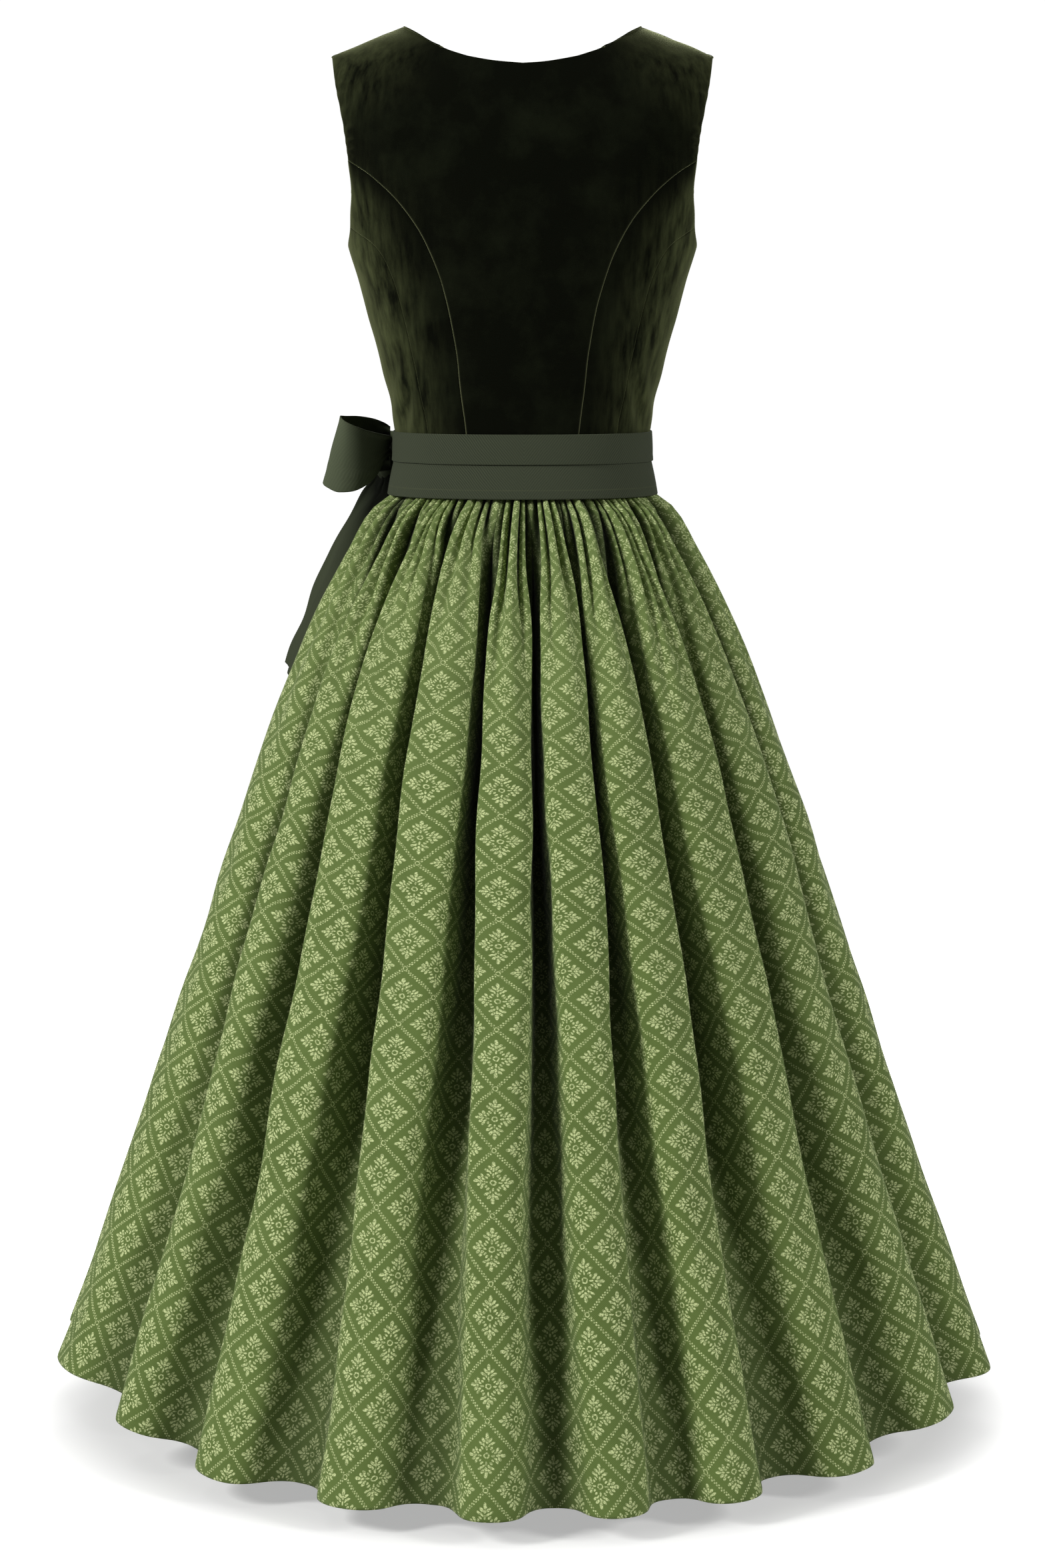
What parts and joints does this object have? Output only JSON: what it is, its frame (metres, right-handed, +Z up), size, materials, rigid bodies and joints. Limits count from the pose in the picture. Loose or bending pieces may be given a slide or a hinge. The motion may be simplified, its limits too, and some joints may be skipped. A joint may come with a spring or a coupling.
{
  "type": "dirndl dress",
  "caption": "Sleeveless dirndl dress in its worn, hollow shape: velvet bodice with princess seams, twill sash with a side bow, and a full gathered printed cotton skirt.",
  "frame": {"origin": "midway between the shoulders, at the height of the middle of the shoulder seams, where the wearer carries the dress", "axes": "+Z up; +Y towards the front of the dress, -Y towards its back; +X towards the wearer's right side"},
  "size_m": [0.9328, 0.924, 1.3225],
  "materials": {
    "velvet": "cotton velvet, short dense pile, very dark olive green",
    "twill": "soft twill, dark grey green, matt",
    "cotton": "plain-woven printed cotton, mid olive green with a pale green lattice of rosettes"
  },
  "bodies": {
    "root": {"bodice_back_centre": "velvet", "bodice_side_back_left": "velvet", "bodice_side_back_right": "velvet", "bodice_side_left": "velvet", "bodice_side_right": "velvet", "bodice_front_left": "velvet", "bodice_front_right": "velvet", "sash_upper_turn": "twill", "sash_lower_turn": "twill", "bow_knot": "twill", "bow_loop_back": "twill", "bow_loop_front": "twill", "bow_tail_back": "twill", "bow_tail_front": "twill", "skirt_back": "cotton", "skirt_front_left": "cotton", "skirt_front_right": "cotton"}
  },
  "joints": []
}
